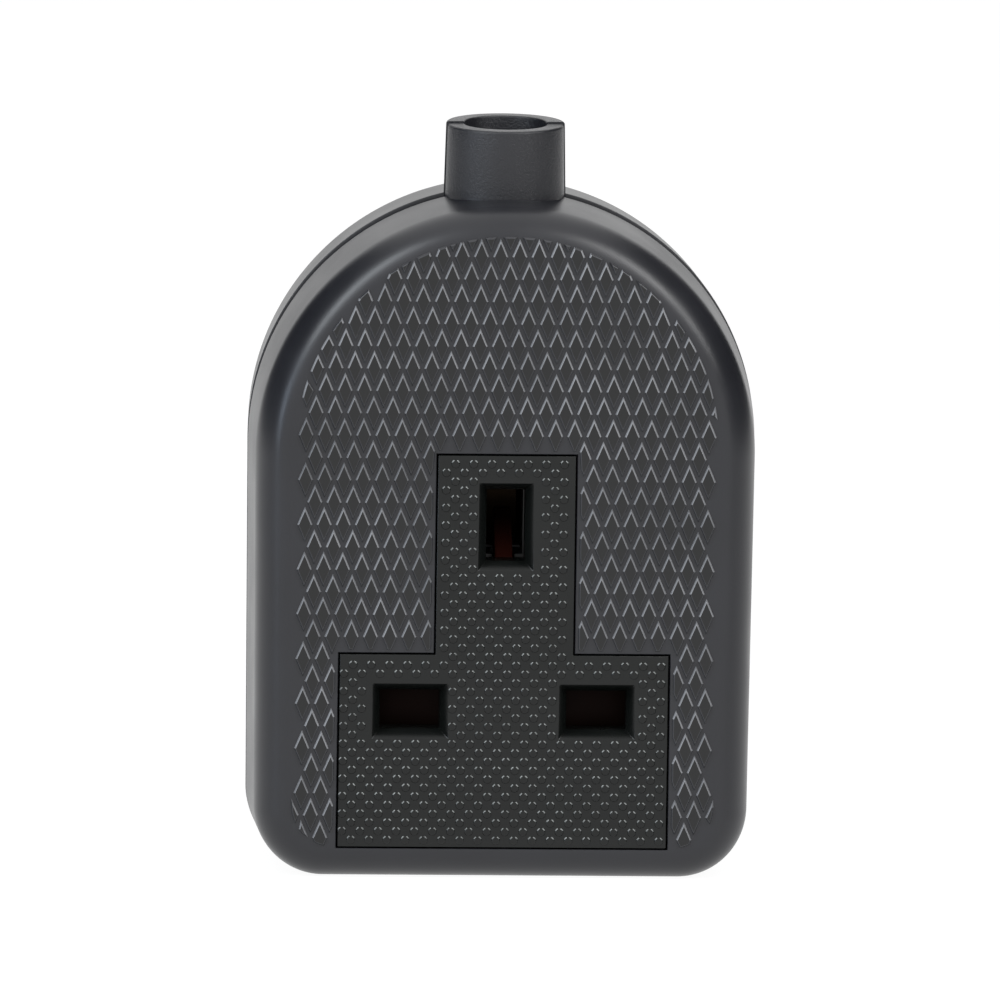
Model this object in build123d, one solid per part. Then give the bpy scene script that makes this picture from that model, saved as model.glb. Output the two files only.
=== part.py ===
from build123d import *

import os
from math import cos, hypot, radians, sin, tan

# A rewireable in-line mains socket for plugs with three flat pins, standing on its lower edge.
# X runs to the right as seen from the front, the face looks towards -Y, and the cable neck points along +Z.
# A depth is measured from the tops of the face's lozenges towards the back. All sizes are in millimetres.

# Casing, seen from the front
casing_width = 60.55
casing_height = 81.0
side_lean = 0.46
corner_radius = 8.8
rear_rise = 0.3
floor_trim = 0.005

# Casing, seen from the side
front_depth = 16.0
rear_depth = 18.0
draft_angle = 2.8
front_rounding = 4.2
rear_rounding = 8.0
side_wall = 2.5
face_wall = 2.4
back_wall = 2.5
inner_rounding = 0.5

# Joint between the two covers: a shadow groove with a tongue of the rear cover behind it
groove_width = 1.3
groove_depth = 1.0
tongue_reach = 2.2
tongue_play = 0.15

# Cable neck, split along the joint
neck_length = 8.05
neck_tail = 4.75
neck_diameter = 14.15
neck_draft = 1.3
neck_gap = 0.35
bore_diameter = 9.76

# Field of raised lozenges on the face
field_side_rim = 5.1
field_top_rim = 3.45
field_corner = 5.0
lozenge_pitch_x = 2.264
lozenge_pitch_z = 5.39
lozenge_phase = 3.97
lozenge_groove = 0.42
lozenge_relief = 0.3
field_border = 0.35
smallest_lozenge = 0.25

# T-shaped insert
insert_bottom = 4.0
foot_width = 39.15
foot_height = 23.2
stem_width = 16.4
stem_height = 24.0
window_gap = 0.2
insert_wall = 4.5
flange_overlap = 1.2
flange_gap = 0.05
insert_rim = 1.4

# Pin slots
pin_pitch_x = 22.23
pin_pitch_z = 22.23
live_height = 16.4
live_slot_width = 7.13
live_slot_height = 4.67
earth_slot_width = 4.6
earth_slot_height = 8.6
bevel_width = 1.0
bevel_depth = 1.6

# Shutter and its spring
shutter_thickness = 1.6
shutter_play = 0.3
shutter_cover = 0.5
shutter_side_cover = 1.22
travel_spare = 0.13
web_width = 6.8
web_below_slot = 0.6
tongue_width = 2.1
ramp_height = 5.1
ramp_depth = 5.2
ramp_back = 0.8
guide_width = 1.2
lug_width = 3.2
lug_height = 1.4
spring_radius = 1.6
spring_wire = 0.4
spring_turns = 7
spring_length = 8.6
spring_play = 0.2

# Contact carrier
carrier_depth = 13.4
carrier_front = 1.9
carrier_gap = 0.05
carrier_wall = 1.6
pocket_play = 0.25

# Contacts
strip = 0.9
jaw_width = 6.4
earth_jaw_width = 7.6
jaw_throat = 3.7
jaw_mouth = 5.2
jaw_back = 4.4
throat_depth = 2.6
block_width = 6.4
block_height = 7.0
block_depth = 6.2
block_rise = 4.4
wire_diameter = 3.4
grip_strip = 0.5
grip_depth = 3.6
grip_inset = 1.8
grip_play = 0.1

# Screws
screw_play = 0.05
head_play = 0.2
tip_chamfer = 0.6
head_rounding = 0.5
drive_slot = 0.8
drive_depth = 0.9
drive_margin = 0.9
terminal_screw_diameter = 3.0
terminal_screw_length = 3.4
terminal_head_diameter = 4.2
terminal_head_height = 1.8
carrier_screw_diameter = 2.2
carrier_screw_length = 7.0
carrier_head_diameter = 4.0
carrier_head_height = 1.5
carrier_screw_x = 15.5
carrier_screw_z = 9.1
carrier_ledge = 5.0
cover_screw_diameter = 3.0
cover_screw_length = 15.0
cover_head_diameter = 5.2
cover_head_height = 2.1
upper_screw_inset = 8.4
upper_screw_angle = 32.2
lower_screw_inset = 6.25
lower_screw_z = 10.6
cover_boss_diameter = 5.6
cover_ledge = 5.5
tower_wall = 1.3

# Cord clamp
clamp_below_neck = 3.9
clamp_height = 5.4
clamp_post_gap = 1.02
clamp_post_diameter = 5.2
clamp_bar_depth = 4.6
clamp_bar_margin = 0.3
clamp_rounding = 1.0
clamp_arch = 0.5
clamp_screw_length = 12.0
saddle_gap = 0.4
clamp_play = 0.1

# Ribs of the rear cover behind the carrier
rib_thickness = 1.6
rib_inset = 3.0
rib_gap = 0.2

# How far a cut runs past the face that it opens
past = 1.0

# Sizes and places that follow from those above
front_y = -(front_depth + rear_depth) / 2
total_depth = front_depth + rear_depth
arch_radius = casing_width / 2
arch_centre = casing_height - arch_radius
neck_top = casing_height + neck_length
neck_bottom = casing_height - neck_tail
bore_radius = bore_diameter / 2
face_depth = lozenge_relief
face_back = face_depth + face_wall
foot_top = insert_bottom + foot_height
stem_top = foot_top + stem_height
live_z = insert_bottom + live_height
earth_z = live_z + pin_pitch_z
live_x = pin_pitch_x / 2
shutter_width = 2 * (live_x + live_slot_width / 2 + shutter_side_cover)
shutter_travel = live_slot_height + shutter_cover + travel_spare
cavity_front = face_depth + insert_wall
shutter_front = cavity_front + shutter_play
cavity_back = shutter_front + shutter_thickness + shutter_play
carrier_near = cavity_back + carrier_gap
carrier_far = carrier_near + carrier_depth
pocket_near = carrier_near + carrier_front
cover_seat = front_depth + groove_width / 2 + cover_ledge
boss_end = front_depth - flange_gap
tower_near = front_depth + clamp_play
tower_diameter = cover_head_diameter + 2 * head_play + 2 * tower_wall
clamp_seat = front_depth + clamp_bar_depth
clamp_z = neck_bottom - clamp_below_neck - clamp_height / 2
clamp_screw_x = bore_radius + clamp_post_gap + clamp_post_diameter / 2
clamp_bar_length = 2 * clamp_screw_x + clamp_post_diameter + 2 * clamp_bar_margin
saddle_width = 2 * clamp_screw_x - clamp_post_diameter - 2 * saddle_gap
upper_screw_x = (arch_radius - upper_screw_inset) * cos(radians(upper_screw_angle))
upper_screw_z = arch_centre + (arch_radius - upper_screw_inset) * sin(radians(upper_screw_angle))
lower_screw_x = arch_radius - lower_screw_inset


def at_depth(depth):
    return Plane(origin=(0, front_y + depth, 0), x_dir=(1, 0, 0), z_dir=(0, -1, 0))


def slab(profile, near, far):
    return extrude(at_depth(far) * profile, amount=far - near)


def block(x, z, width, height, near, far):
    return slab(Pos(x, z) * Rectangle(width, height), near, far)


def post(x, z, diameter, near, far):
    return slab(Pos(x, z) * Circle(diameter / 2), near, far)


def upright(x, depth, diameter, low, high):
    plane = Plane(origin=(x, front_y + depth, low))
    return extrude(plane * Circle(diameter / 2), amount=high - low)


def frustum(x, z, size, near, far, spread):
    outer = at_depth(near) * (Pos(x, z) * Rectangle(size[0] + 2 * spread, size[1] + 2 * spread))
    inner = at_depth(far) * (Pos(x, z) * Rectangle(*size))
    return loft([outer.face(), inner.face()], ruled=True)


# Casing shapes
def flip(point):
    return (-point[0], point[1])


def casing_outline(inset, rise, narrowing):
    """The outline at an inset from the skin. The narrowing by the draft leaves the floor where it is."""
    lean = radians(side_lean)
    radius = arch_radius - inset - narrowing
    corner = corner_radius - inset - narrowing
    centre = arch_centre + rise
    side = (radius * cos(lean), centre - radius * sin(lean))
    floor = inset - floor_trim
    corner_z = floor + corner
    corner_x = side[0] - (side[1] - corner_z) * tan(lean) - corner / cos(lean)
    low = (corner_x, floor)
    turn = radians(90 + side_lean) / 2
    middle = (corner_x + corner * sin(turn), corner_z - corner * cos(turn))
    high = (corner_x + corner * cos(lean), corner_z - corner * sin(lean))
    outline = ThreePointArc(side, (0, centre + radius), flip(side)) + Line(flip(side), flip(high))
    outline += ThreePointArc(flip(high), flip(middle), flip(low)) + Line(flip(low), low)
    outline += ThreePointArc(low, middle, high) + Line(high, side)
    return make_face(outline)


def casing_block(inset, length, back=False, rise=0, rounding=0):
    """A drafted block of the casing's outline, from the joint towards the face or the back, with a flat floor."""
    near = casing_outline(inset, rise, 0)
    far = Pos(0, 0, length) * casing_outline(inset, rise, length * tan(radians(draft_angle)))
    solid = loft([near.face(), far.face()], ruled=True)
    if rounding > 0:
        solid = fillet(solid.faces().sort_by(Axis.Z)[-1].edges(), rounding)
    above = Pos(0, inset + casing_height, length / 2) * Box(2 * casing_width, 2 * casing_height, 2 * length)
    solid &= above
    x_dir = (-1, 0, 0) if back else (1, 0, 0)
    z_dir = (0, 1, 0) if back else (0, -1, 0)
    return Plane(origin=(0, front_y + front_depth, 0), x_dir=x_dir, z_dir=z_dir) * solid


def whole_depth(near, far):
    return block(0, casing_height / 2, 2 * casing_width, 2 * casing_height, near, far)


def neck_cone(spare):
    """The neck with its tail inside the casing, grown by the spare on its radius."""
    top_radius = neck_diameter / 2 + spare
    height = neck_top - neck_bottom + spare
    bottom_radius = top_radius + height * tan(radians(neck_draft))
    solid = Cone(bottom_radius, top_radius, height)
    return Pos(0, front_y + front_depth, neck_bottom - spare + height / 2) * solid


def neck_bore():
    return upright(0, front_depth, bore_diameter, neck_bottom - neck_tail, neck_top + past)


# Face pattern
def tee(spare):
    """The insert's T outline, grown by the spare all round."""
    foot_size = (foot_width + 2 * spare, foot_height + 2 * spare)
    foot = Pos(0, insert_bottom + foot_height / 2) * Rectangle(*foot_size)
    stem_low = foot_top - stem_width / 2
    stem_size = (stem_width + 2 * spare, stem_top + spare - stem_low)
    stem = Pos(0, (stem_low + stem_top + spare) / 2) * Rectangle(*stem_size)
    return foot + stem


def field_outline():
    half = arch_radius - field_side_rim
    top = casing_height - field_top_rim
    centre = top - half
    low = insert_bottom
    corner = field_corner
    outline = Polyline((-half, centre), (-half, low + corner)) + ThreePointArc(
        (-half, low + corner),
        (-half + corner * (1 - cos(radians(45))), low + corner * (1 - sin(radians(45)))),
        (-half + corner, low),
    )
    outline += Polyline((-half + corner, low), (half - corner, low))
    outline += ThreePointArc(
        (half - corner, low),
        (half - corner * (1 - cos(radians(45))), low + corner * (1 - sin(radians(45)))),
        (half, low + corner),
    )
    outline += Polyline((half, low + corner), (half, centre))
    outline += ThreePointArc((half, centre), (0, top), (-half, centre))
    return make_face(outline)


def lozenge_field():
    """Raised lozenges in staggered rows, cut off at the field's edge and at the window."""
    half_x = lozenge_pitch_x / 2
    half_z = lozenge_pitch_z / 2
    reach = half_x * half_z / hypot(half_x, half_z)
    shrink = 1 - lozenge_groove / 2 / reach
    points = [(half_x * shrink, 0), (0, half_z * shrink), (-half_x * shrink, 0), (0, -half_z * shrink)]
    lozenge = make_face(Polyline(*points, close=True))
    first_z = insert_bottom + lozenge_phase - lozenge_pitch_z
    rows = int(2 * casing_height / lozenge_pitch_z)
    columns = int(arch_radius / lozenge_pitch_x) + 1
    places = []
    for row in range(rows):
        stagger = half_x * (row % 2)
        z = first_z + row * half_z
        for column in range(-columns, columns + 1):
            places.append((column * lozenge_pitch_x + stagger, z))
    region = field_outline() - tee(window_gap + field_border)
    kept = region & Sketch(Compound([Pos(x, z) * lozenge.face() for x, z in places]).wrapped)
    return [face for face in kept.faces() if face.area > smallest_lozenge]


# Screws point towards the face, with the head at the back
def cover_screw_places():
    upper = [(side * upper_screw_x, upper_screw_z) for side in (-1, 1)]
    lower = [(side * lower_screw_x, lower_screw_z) for side in (-1, 1)]
    return upper + lower


def screw(x, z, seat, diameter, length, head_diameter, head_height):
    """A pan-headed screw whose head rests on the seat depth."""
    shank = post(x, z, diameter, seat - length, seat)
    tip = shank.faces().sort_by(Axis.Y)[0].edges()
    shank = chamfer(tip, tip_chamfer)
    head = post(x, z, head_diameter, seat, seat + head_height)
    rim = head.faces().sort_by(Axis.Y)[-1].edges()
    head = fillet(rim, head_rounding)
    slot_near = seat + head_height - drive_depth
    span = head_diameter - 2 * drive_margin
    cross = block(x, z, span, drive_slot, slot_near, seat + head_height + past)
    cross += block(x, z, drive_slot, span, slot_near, seat + head_height + past)
    return shank + head - cross


def slotted_screw(x, z, seat, diameter, length, head_diameter, head_height):
    """A cheese-headed screw with one driver slot right across its head."""
    shank = post(x, z, diameter, seat - length, seat)
    head = post(x, z, head_diameter, seat, seat + head_height)
    slot_near = seat + head_height - drive_depth
    slot = block(x, z, head_diameter + past, drive_slot, slot_near, seat + head_height + past)
    return shank + head - slot


# The two covers
def front_cover():
    depth = front_depth - face_depth
    solid = casing_block(0, depth, rounding=front_rounding)
    solid -= casing_block(side_wall, depth - face_wall, rounding=inner_rounding)
    solid -= casing_block(groove_depth, tongue_reach + tongue_play)
    solid -= whole_depth(front_depth - groove_width / 2, front_depth + past)
    for x, z in cover_screw_places():
        solid += post(x, z, cover_boss_diameter, face_back - face_wall / 2, boss_end)
    for side in (-1, 1):
        x = side * clamp_screw_x
        solid += post(x, clamp_z, clamp_post_diameter, face_back - face_wall / 2, front_depth - clamp_play)
    saddle_end = front_depth - bore_radius / 2
    solid += block(0, clamp_z, saddle_width, clamp_height, face_back - face_wall / 2, saddle_end)
    cord_space = bore_diameter + 2 * clamp_arch
    solid -= upright(0, front_depth, cord_space, clamp_z - clamp_height, clamp_z + clamp_height)
    neck = neck_cone(0)
    solid += neck & whole_depth(0, front_depth - neck_gap / 2)
    solid -= neck_bore()
    solid -= slab(tee(window_gap), -past, face_back + past)
    root = at_depth(face_back - face_wall / 2)
    solid += [extrude(root * face, face_wall / 2 + lozenge_relief) for face in lozenge_field()]
    for x, z in cover_screw_places():
        diameter = cover_screw_diameter + 2 * screw_play
        solid -= post(x, z, diameter, cover_seat - cover_screw_length - head_play, front_depth + past)
    for side in (-1, 1):
        x = side * clamp_screw_x
        diameter = cover_screw_diameter + 2 * screw_play
        solid -= post(x, clamp_z, diameter, clamp_seat - clamp_screw_length - head_play, front_depth + past)
    return solid


def rear_cover():
    solid = casing_block(0, rear_depth, back=True, rise=rear_rise, rounding=rear_rounding)
    hollow = rear_rounding - side_wall
    solid -= casing_block(side_wall, rear_depth - back_wall, back=True, rise=rear_rise, rounding=hollow)
    solid -= whole_depth(front_depth - past, front_depth + groove_width / 2)
    tongue_inset = groove_depth + tongue_play
    tongue = casing_block(tongue_inset, tongue_reach) - casing_block(side_wall, tongue_reach)
    root = groove_width / 2 + side_wall / 2
    tongue += casing_block(tongue_inset, root, back=True) - casing_block(side_wall, root, back=True)
    solid += tongue
    inside = casing_block(side_wall / 2, rear_depth - back_wall / 2, back=True, rounding=hollow)
    for x, z in cover_screw_places():
        solid += post(x, z, tower_diameter, tower_near, total_depth) & inside
    for x in (-carrier_rib_x(), 0, carrier_rib_x()):
        height = foot_height - 2 * rib_inset
        middle = insert_bottom + foot_height / 2
        solid += block(x, middle, rib_thickness, height, carrier_far + rib_gap, total_depth - back_wall / 2)
    envelope = neck_cone(tongue_play)
    solid -= envelope & whole_depth(0, front_depth + neck_gap / 2)
    neck = neck_cone(0)
    solid += neck & whole_depth(front_depth + neck_gap / 2, total_depth)
    solid -= neck_bore()
    for x, z in cover_screw_places():
        solid -= post(x, z, cover_screw_diameter + 2 * head_play, front_depth, total_depth)
        solid -= post(x, z, cover_head_diameter + 2 * head_play, cover_seat, total_depth + past)
    return solid


def carrier_rib_x():
    return live_x + jaw_width / 2 + carrier_wall + rib_thickness


# Insert, shutter and spring
def flange_profile(spare=0):
    """The insert's hidden flange, which ends level with the foot at the casing's lower wall."""
    keep = Pos(0, insert_bottom + spare + casing_height / 2) * Rectangle(casing_width, casing_height)
    return tee(flange_overlap - spare) & keep


def live_places():
    return [(-live_x, live_z), (live_x, live_z)]


def socket_insert():
    solid = slab(tee(0), face_depth, cavity_front)
    solid += slab(flange_profile(), face_back + flange_gap, cavity_front)
    rim = flange_profile() - flange_profile(insert_rim)
    solid += slab(rim, cavity_front, cavity_back)
    for x, z in cover_screw_places():
        solid -= post(x, z, cover_boss_diameter + 2 * screw_play, face_back, cavity_back + past)
    guide_x = web_width / 2 + shutter_play + guide_width / 2
    guide_low = live_z + live_slot_height / 2 + shutter_cover + shutter_play
    guide_height = earth_z - earth_slot_height / 2 - shutter_play - guide_low
    guide_z = guide_low + guide_height / 2
    for side in (-1, 1):
        solid += block(side * guide_x, guide_z, guide_width, guide_height, cavity_front, cavity_back)
        boss_diameter = carrier_screw_diameter + 2 * insert_rim
        solid += post(side * carrier_screw_x, carrier_screw_z, boss_diameter, cavity_front, cavity_back)
    seat_low = insert_bottom + insert_rim / 2
    seat_height = spring_bottom() - spring_play / 2 - seat_low
    solid += block(0, seat_low + seat_height / 2, lug_width, seat_height, cavity_front, cavity_back)
    for x, z in live_places():
        solid -= pin_slot(x, z, (live_slot_width, live_slot_height), cavity_back)
    solid -= pin_slot(0, earth_z, (earth_slot_width, earth_slot_height), cavity_back)
    seat = carrier_near + carrier_ledge
    for side in (-1, 1):
        hole = carrier_screw_diameter + 2 * screw_play
        hole_near = seat - carrier_screw_length - head_play
        solid -= post(side * carrier_screw_x, carrier_screw_z, hole, hole_near, cavity_back + past)
    return solid


def pin_slot(x, z, size, far):
    solid = block(x, z, size[0], size[1], face_depth, far)
    return solid + frustum(x, z, size, face_depth, face_depth + bevel_depth, bevel_width)


def shutter_bottom():
    return live_z - live_slot_height / 2 - shutter_cover


def spring_bottom():
    return shutter_bottom() - lug_height - spring_length - spring_play / 2


def shutter():
    near = shutter_front
    far = near + shutter_thickness
    height = live_slot_height + 2 * shutter_cover
    solid = block(0, live_z, shutter_width, height, near, far)
    web_top = earth_z - earth_slot_height / 2 - web_below_slot
    web_height = web_top - live_z
    solid += block(0, live_z + web_height / 2, web_width, web_height, near, far)
    ramp_low = web_top - web_below_slot
    start = web_top + web_below_slot
    ramp_top = start + ramp_height
    ramp = Polyline(
        (near, ramp_low),
        (near, start),
        (near + ramp_depth, ramp_top),
        (near + ramp_depth + ramp_back, ramp_top),
        (near + ramp_depth + ramp_back, ramp_low),
        close=True,
    )
    side_plane = Plane(origin=(-tongue_width / 2, front_y, 0), x_dir=(0, 1, 0), z_dir=(1, 0, 0))
    solid += extrude(side_plane * make_face(ramp), amount=tongue_width)
    lug_far = near + 2 * spring_radius + spring_play
    lug_z = shutter_bottom() - lug_height / 2 + strip / 2
    solid += block(0, lug_z, lug_width, lug_height + strip, near, lug_far)
    return solid


def shutter_spring():
    """A coil spring that stands between the insert's seat and the shutter's lug."""
    pitch = (spring_length - spring_wire) / spring_turns
    radius = spring_radius - spring_wire / 2
    path = Helix(pitch=pitch, height=spring_length - spring_wire, radius=radius)
    section = Plane(origin=path @ 0, z_dir=path % 0) * Circle(spring_wire / 2)
    solid = sweep(section, path=path, is_frenet=True)
    depth = shutter_front + spring_radius + spring_play / 2
    return Pos(0, front_y + depth, spring_bottom() + spring_wire / 2) * solid


# Contact carrier
def live_pocket_top():
    return live_z + jaw_back / 2 + block_rise + block_height + pocket_play


def earth_pocket_top():
    return earth_z + earth_jaw_width / 2 + earth_block_rise() + block_height + pocket_play


def earth_block_rise():
    return grip_play + grip_strip + pocket_play + strip


def grip_half():
    """Half the space inside a grip, across the jaws."""
    lead = (jaw_mouth - jaw_throat) / 2 * (1 - grip_inset / throat_depth)
    return jaw_throat / 2 + max(lead, 0) + strip + grip_play


def contact_carrier():
    low = insert_bottom
    foot_high = live_pocket_top() + carrier_wall
    foot_size = (foot_width + 2 * flange_overlap, foot_high - low)
    outline = Pos(0, (low + foot_high) / 2) * Rectangle(*foot_size)
    stem_size = (stem_width + 2 * flange_overlap, earth_pocket_top() + carrier_wall - low)
    outline += Pos(0, low + stem_size[1] / 2) * Rectangle(*stem_size)
    solid = slab(outline, carrier_near, carrier_far)
    pocket_width = jaw_width + 2 * (pocket_play + grip_strip + grip_play)
    half = grip_half() + grip_strip + pocket_play
    for x, z in live_places():
        height = half + live_pocket_top() - z
        solid -= block(x, z - half + height / 2, pocket_width, height, pocket_near, carrier_far + past)
        solid -= block(x, z, live_slot_width, live_slot_height, carrier_near - past, pocket_near + past)
        wire_hole = upright(x, block_mid_depth(), wire_diameter, z, foot_high + past)
        solid -= wire_hole
    low_earth = earth_z - earth_jaw_width / 2 - pocket_play
    height = earth_pocket_top() - low_earth
    near = pocket_near + earth_setback()
    solid -= block(0, low_earth + height / 2, 2 * half, height, near, carrier_far + past)
    ramp_channel_low = earth_z - earth_slot_height / 2 - 2 * web_below_slot - shutter_travel - shutter_play
    ramp_channel_high = low_earth + earth_slot_height + pocket_play
    channel_height = ramp_channel_high - ramp_channel_low
    channel_z = ramp_channel_low + channel_height / 2
    channel_far = shutter_front + ramp_depth + ramp_back + shutter_play
    channel_width = tongue_width + 2 * shutter_play
    solid -= block(0, channel_z, channel_width, channel_height, carrier_near - past, channel_far)
    solid -= block(0, earth_z, earth_slot_width, earth_slot_height, carrier_near - past, channel_far + past)
    solid -= upright(0, block_mid_depth(), wire_diameter, earth_z, earth_pocket_top() + 2 * carrier_wall)
    spring_far = shutter_front + 2 * spring_radius + 2 * spring_play
    spring_low = spring_bottom() - spring_play / 2
    spring_height = shutter_bottom() + past - spring_low
    solid -= block(0, spring_low + spring_height / 2, lug_width + 2 * shutter_play, spring_height,
                   carrier_near - past, spring_far)
    for x, z in cover_screw_places():
        solid -= post(x, z, tower_diameter + 2 * pocket_play, carrier_near - past, carrier_far + past)
    seat = carrier_near + carrier_ledge
    for side in (-1, 1):
        x = side * carrier_screw_x
        shank_hole = carrier_screw_diameter + 2 * head_play
        head_hole = carrier_head_diameter + 2 * head_play
        solid -= post(x, carrier_screw_z, shank_hole, carrier_near - past, seat + past)
        solid -= post(x, carrier_screw_z, head_hole, seat, carrier_far + past)
    return solid


# Contacts: two jaws joined by a web at the back, with a terminal block above
def earth_setback():
    return shutter_front + ramp_depth + ramp_back + shutter_play + carrier_front / 2 - pocket_near


def contact_near():
    return pocket_near + pocket_play


def contact_far():
    return carrier_far - pocket_play


def block_mid_depth():
    return contact_far() - strip - block_depth / 2


def jaw(near):
    """One jaw's profile: depth against distance from the pin's middle."""
    web = contact_far() - strip / 2
    inner = [(near, jaw_mouth / 2), (near + throat_depth, jaw_throat / 2), (web, jaw_back / 2)]
    outer = [(depth, half + strip) for depth, half in reversed(inner)]
    return make_face(Polyline(*inner, *outer, close=True))


def jaws(near, width):
    """Both jaws above and below the pin, and the web behind it."""
    plane = Plane(origin=(-width / 2, front_y, 0), x_dir=(0, 1, 0), z_dir=(1, 0, 0))
    upper = extrude(plane * jaw(near), amount=width)
    lower = mirror(upper, about=Plane.XY)
    web = block(0, 0, width, jaw_back + 2 * strip, contact_far() - strip, contact_far())
    return upper + lower + web


def terminal_block(low):
    """A brass block with a hole for the wire and one for the screw, and the strip that carries it."""
    far = contact_far()
    high = low + block_height
    solid = block(0, (low + high) / 2, block_width, block_height, far - strip - block_depth, far)
    solid += block(0, high / 2, block_width, high, far - strip, far)
    solid -= upright(0, block_mid_depth(), wire_diameter, low + strip, high + past)
    screw_hole = terminal_screw_diameter + 2 * screw_play
    solid -= post(0, (low + high) / 2, screw_hole, block_mid_depth(), far + past)
    return solid


def live_contact(x):
    low = jaw_back / 2 + block_rise
    solid = jaws(contact_near(), jaw_width) + terminal_block(low)
    return Pos(x, 0, live_z) * solid


def earth_contact():
    turned = jaws(contact_near() + earth_setback(), earth_jaw_width).rotate(Axis.Y, 90)
    low = earth_jaw_width / 2 + earth_block_rise()
    return Pos(0, 0, earth_z) * (turned + terminal_block(low))


def grip(near, width, opening):
    """A bent steel clip round three sides of the jaws, open towards the given side."""
    half = grip_half()
    span = width + 2 * grip_play
    outer = (span + 2 * grip_strip, 2 * (half + grip_strip))
    solid = block(0, 0, outer[0], outer[1], near + grip_inset, near + grip_inset + grip_depth)
    solid -= block(0, 0, span, 2 * half, near, near + 2 * grip_depth + grip_inset)
    far = near + grip_inset + grip_depth
    return solid - block(opening * (span / 2 + grip_strip), 0, 2 * grip_strip, outer[1], near, far)


def live_grip(x, opening):
    return Pos(x, 0, live_z) * grip(contact_near(), jaw_width, opening)


def earth_grip():
    clip = grip(contact_near() + earth_setback(), earth_jaw_width, 1)
    return Pos(0, 0, earth_z) * clip.rotate(Axis.Y, 90)


# Cord clamp
def cord_clamp():
    near = front_depth
    solid = block(0, clamp_z, clamp_bar_length, clamp_height, near, clamp_seat)
    solid = fillet(solid.edges().filter_by(Axis.Y), clamp_rounding)
    arch = bore_diameter - clamp_arch
    solid -= upright(0, near - clamp_arch, arch, clamp_z - clamp_height, clamp_z + clamp_height)
    for side in (-1, 1):
        hole = cover_screw_diameter + 2 * head_play
        solid -= post(side * clamp_screw_x, clamp_z, hole, 0, total_depth)
    return solid


def terminal_screw(x, z):
    sizes = (terminal_screw_diameter, terminal_screw_length, terminal_head_diameter, terminal_head_height)
    return slotted_screw(x, z, contact_far(), *sizes)


def cover_screw(x, z):
    sizes = (cover_screw_diameter, cover_screw_length, cover_head_diameter, cover_head_height)
    return screw(x, z, cover_seat, *sizes)


def clamp_screw(x):
    sizes = (cover_screw_diameter, clamp_screw_length, cover_head_diameter, cover_head_height)
    return screw(x, clamp_z, clamp_seat, *sizes)


def carrier_screw(x):
    seat = carrier_near + carrier_ledge
    sizes = (carrier_screw_diameter, carrier_screw_length, carrier_head_diameter, carrier_head_height)
    return screw(x, carrier_screw_z, seat, *sizes)


live_screw_z = live_z + jaw_back / 2 + block_rise + block_height / 2
earth_screw_z = earth_z + earth_jaw_width / 2 + earth_block_rise() + block_height / 2

pieces = {
    "front_cover": front_cover(),
    "rear_cover": rear_cover(),
    "socket_insert": socket_insert(),
    "contact_carrier": contact_carrier(),
    "shutter": shutter(),
    "shutter_spring": shutter_spring(),
    "neutral_contact": live_contact(-live_x),
    "line_contact": live_contact(live_x),
    "earth_contact": earth_contact(),
    "neutral_grip": live_grip(-live_x, 1),
    "line_grip": live_grip(live_x, -1),
    "earth_grip": earth_grip(),
    "neutral_terminal_screw": terminal_screw(-live_x, live_screw_z),
    "line_terminal_screw": terminal_screw(live_x, live_screw_z),
    "earth_terminal_screw": terminal_screw(0, earth_screw_z),
    "cord_clamp": cord_clamp(),
    "clamp_screw_left": clamp_screw(-clamp_screw_x),
    "clamp_screw_right": clamp_screw(clamp_screw_x),
    "carrier_screw_left": carrier_screw(-carrier_screw_x),
    "carrier_screw_right": carrier_screw(carrier_screw_x),
}
for name, (x, z) in zip(("upper_left", "upper_right", "lower_left", "lower_right"), cover_screw_places()):
    pieces[f"cover_screw_{name}"] = cover_screw(x, z)

os.makedirs("parts", exist_ok=True)
for name, piece in pieces.items():
    export_step(piece, f"parts/{name}.step")
    print(name, round(piece.volume, 1))
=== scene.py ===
# Looks of a rewireable trailing socket: two black mouldings, a T-shaped insert with pips, and a split cable neck
import bmesh
import bpy
import numpy as np
from math import cos, hypot, pi, radians, sin, tan
from mathutils import Matrix, Vector


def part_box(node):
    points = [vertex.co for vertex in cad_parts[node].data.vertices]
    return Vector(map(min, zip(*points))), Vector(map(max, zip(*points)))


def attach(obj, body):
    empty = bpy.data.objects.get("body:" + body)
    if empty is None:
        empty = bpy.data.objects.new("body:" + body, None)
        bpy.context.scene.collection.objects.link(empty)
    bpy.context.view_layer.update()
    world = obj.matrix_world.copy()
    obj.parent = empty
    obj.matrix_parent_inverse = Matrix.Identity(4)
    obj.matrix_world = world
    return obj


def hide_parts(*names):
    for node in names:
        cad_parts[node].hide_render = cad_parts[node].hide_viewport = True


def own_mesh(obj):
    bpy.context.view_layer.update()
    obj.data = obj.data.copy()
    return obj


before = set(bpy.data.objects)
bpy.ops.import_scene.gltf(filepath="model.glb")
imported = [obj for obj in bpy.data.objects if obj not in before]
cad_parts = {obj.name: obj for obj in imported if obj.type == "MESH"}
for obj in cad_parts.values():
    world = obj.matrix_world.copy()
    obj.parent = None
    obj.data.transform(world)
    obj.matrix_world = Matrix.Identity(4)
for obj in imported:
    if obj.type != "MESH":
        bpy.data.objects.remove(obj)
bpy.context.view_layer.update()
mm = 0.001  # shapes are worked out in millimetres and stored in metres
print("frame loaded:", len(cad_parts), "nodes")

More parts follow.
